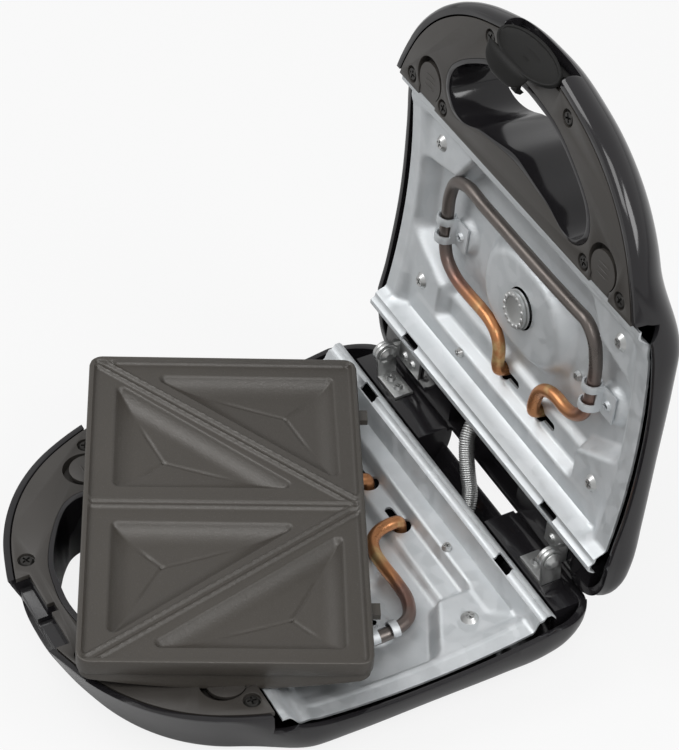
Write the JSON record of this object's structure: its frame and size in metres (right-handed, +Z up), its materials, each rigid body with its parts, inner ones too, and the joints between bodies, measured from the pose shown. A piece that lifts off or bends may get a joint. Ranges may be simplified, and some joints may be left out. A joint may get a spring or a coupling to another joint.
{
  "type": "sandwich maker",
  "caption": "Open electric sandwich maker: hinged halves with loop handles, bare trays, bent heaters, a latch and a loose plate with triangular pockets.",
  "frame": {"origin": "on the table under the middle of the object's bounds, as it stands open with its plate across the base", "axes": "+Z up, +X along the hinge to the user's right, front towards -Y"},
  "size_m": [0.261, 0.2944, 0.2878],
  "materials": {
    "gloss_black": "gloss",
    "satin_grey": "satin",
    "galvanised": "spangled zinc",
    "heater_metal": "heat stained",
    "black_screw": "black oxide",
    "zinc": "bright zinc",
    "rubber": "matte",
    "red_lens": "clear",
    "green_lens": "clear",
    "coated_plate": "non-stick coat",
    "matte_black": "matte"
  },
  "bodies": {
    "base": {"base_shell": "gloss_black", "base_handle_cover": "satin_grey", "base_tray": "galvanised", "base_heater": "heater_metal", "base_cover_screw_outer_right": "black_screw", "base_cover_screw_outer_left": "black_screw", "base_cover_screw_inner_right": "black_screw", "base_cover_screw_inner_left": "black_screw", "base_cover_screw_front_right": "black_screw", "base_cover_screw_front_left": "black_screw", "base_tray_screw_front_right": "zinc", "base_tray_screw_front_left": "zinc", "base_tray_screw_rear_right": "zinc", "base_tray_screw_rear_left": "zinc", "base_heater_clip_right": "galvanised", "base_heater_clip_left": "galvanised", "base_tray_screw_shelf": "zinc", "base_hinge_bracket_left": "zinc", "hinge_pin_left": "zinc", "base_hinge_bracket_right": "zinc", "hinge_pin_right": "zinc", "foot_front_right": "rubber", "foot_rear_right": "rubber", "foot_front_left": "rubber", "foot_rear_left": "rubber", "cord_inlet": "rubber", "thermal_fuse": "zinc", "terminal_block": "matte_black", "wire_conduit": "zinc"},
    "lid": {"lid_shell": "gloss_black", "lid_handle_cover": "satin_grey", "lid_tray": "galvanised", "lid_heater": "heater_metal", "lid_cover_screw_outer_left": "black_screw", "lid_cover_screw_outer_right": "black_screw", "lid_cover_screw_inner_left": "black_screw", "lid_cover_screw_inner_right": "black_screw", "lid_cover_screw_front_left": "black_screw", "lid_cover_screw_front_right": "black_screw", "lid_tray_screw_front_left": "zinc", "lid_tray_screw_front_right": "zinc", "lid_tray_screw_rear_left": "zinc", "lid_tray_screw_rear_right": "zinc", "lid_heater_clip_left": "galvanised", "lid_heater_clip_right": "galvanised", "lid_tray_screw_shelf": "zinc", "lid_tray_screw_recess": "zinc", "lid_hinge_bracket_left": "zinc", "lid_hinge_bracket_right": "zinc", "thermostat_body": "zinc", "latch_pin": "zinc", "lamp_lens_red": "red_lens", "lamp_lens_green": "green_lens"},
    "latch": {"latch": "matte_black"},
    "plate": {"sandwich_plate": "coated_plate"},
    "thermostat_cap": {"thermostat_cap": "zinc"},
    "base_button_left": {"base_release_button_left": "matte_black"},
    "base_button_right": {"base_release_button_right": "matte_black"},
    "lid_button_left": {"lid_release_button_left": "matte_black"},
    "lid_button_right": {"lid_release_button_right": "matte_black"}
  },
  "joints": [
    {"name": "lid_hinge", "type": "hinge", "parent": "base", "child": "lid", "pos_m": [0.01229, 0.09148, 0.04728], "axis": [1, 0, 0], "range_deg": [0, 96.7], "deforming": ["wire_conduit"]},
    {"name": "latch_pivot", "type": "hinge", "parent": "lid", "child": "latch", "pos_m": [0.01229, 0.12486, 0.27947], "axis": [-1, 0, 0], "range_deg": [0, 30]},
    {"name": "thermostat_slide", "type": "slide", "parent": "lid", "child": "thermostat_cap", "axis": [0, 0.9931, -0.1169], "range_m": [0, 0.0015], "stiffness_N_per_m": 400, "springref_m": -0.002},
    {"name": "plate_slide", "type": "slide", "parent": "base", "child": "plate", "axis": [0, -0.9781, 0.2079], "range_m": [0, 0.24]},
    {"name": "base_release_left", "type": "slide", "parent": "base", "child": "base_button_left", "axis": [0, -1, 0], "range_m": [0, 0.0034], "stiffness_N_per_m": 500, "springref_m": -0.002},
    {"name": "base_release_right", "type": "slide", "parent": "base", "child": "base_button_right", "axis": [0, -1, 0], "range_m": [0, 0.0034], "stiffness_N_per_m": 500, "springref_m": -0.002},
    {"name": "lid_release_left", "type": "slide", "parent": "lid", "child": "lid_button_left", "axis": [0, 0.1169, 0.9931], "range_m": [0, 0.0034], "stiffness_N_per_m": 500, "springref_m": -0.002},
    {"name": "lid_release_right", "type": "slide", "parent": "lid", "child": "lid_button_right", "axis": [0, 0.1169, 0.9931], "range_m": [0, 0.0034], "stiffness_N_per_m": 500, "springref_m": -0.002}
  ],
  "couplings": [
    {"joint": "plate_slide", "follows": "lid_hinge", "m_per_rad": 0.142},
    {"joint": "latch_pivot", "follows": "lid_hinge", "ratio": 0.31}
  ]
}
